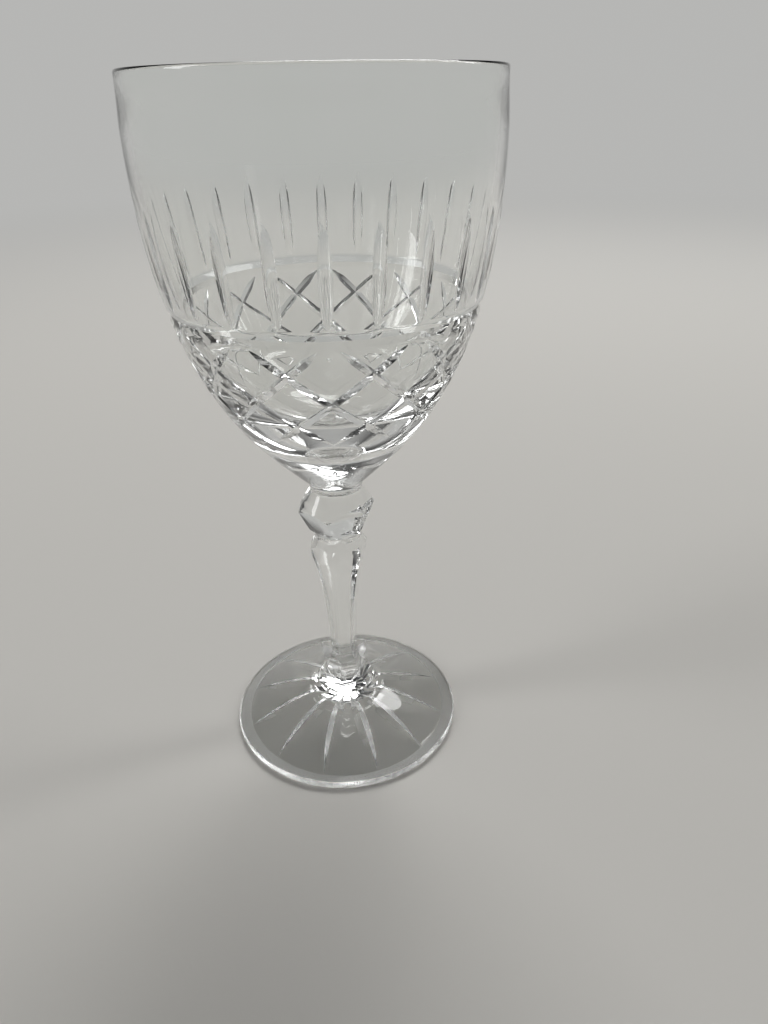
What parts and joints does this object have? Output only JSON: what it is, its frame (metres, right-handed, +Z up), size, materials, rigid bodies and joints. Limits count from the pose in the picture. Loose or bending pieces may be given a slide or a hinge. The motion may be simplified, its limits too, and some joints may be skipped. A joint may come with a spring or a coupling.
{
  "type": "wine glass",
  "caption": "Stemmed wine glass in cut clear crystal, with a bowl to drink from, a faceted knop and stem, and a domed foot it stands on.",
  "frame": {"origin": "centre of the ring that the foot stands on, at table height", "axes": "+Z up along the stem and bowl axis; the stem's flats and the cuts are set out from +X"},
  "size_m": [0.0788, 0.0788, 0.17],
  "materials": {
    "bowl_crystal": "fire-polished clear lead crystal with polished wheel cuts",
    "knop_crystal": "polished clear lead crystal, six ground flats",
    "stem_crystal": "polished clear lead crystal, six ground flats",
    "foot_crystal": "fire-polished clear lead crystal with a star cut underneath"
  },
  "bodies": {
    "root": {"bowl": "bowl_crystal", "knop": "knop_crystal", "stem": "stem_crystal", "foot": "foot_crystal"}
  },
  "joints": []
}
